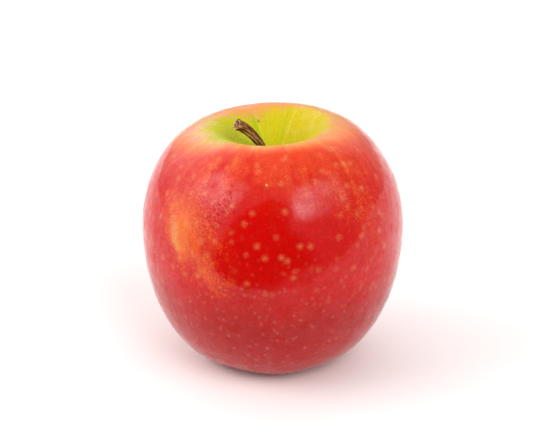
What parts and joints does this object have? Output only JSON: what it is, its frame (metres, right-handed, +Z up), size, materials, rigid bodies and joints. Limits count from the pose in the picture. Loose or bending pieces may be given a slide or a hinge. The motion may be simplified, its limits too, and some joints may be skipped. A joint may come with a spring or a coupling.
{
  "type": "apple",
  "caption": "Ripe two-tone apple with a curved woody stem in its top hollow and a dried calyx in the hollow underneath.",
  "frame": {"origin": "on the surface it stands on, straight below the middle of the fruit", "axes": "+Z up along the core axis from calyx to stem; -Y towards the side that is seen; the stem bends over towards -X"},
  "size_m": [0.0754, 0.0766, 0.0732],
  "materials": {
    "skin": "waxy, semi-gloss",
    "bark": "rough, dry",
    "dried_leaf": "dry, crumpled",
    "dried_thread": "dry"
  },
  "bodies": {
    "root": {"fruit": "skin", "stem": "bark", "sepal_1": "dried_leaf", "sepal_2": "dried_leaf", "sepal_3": "dried_leaf", "sepal_4": "dried_leaf", "sepal_5": "dried_leaf", "stamen_tuft": "dried_thread"}
  },
  "joints": []
}
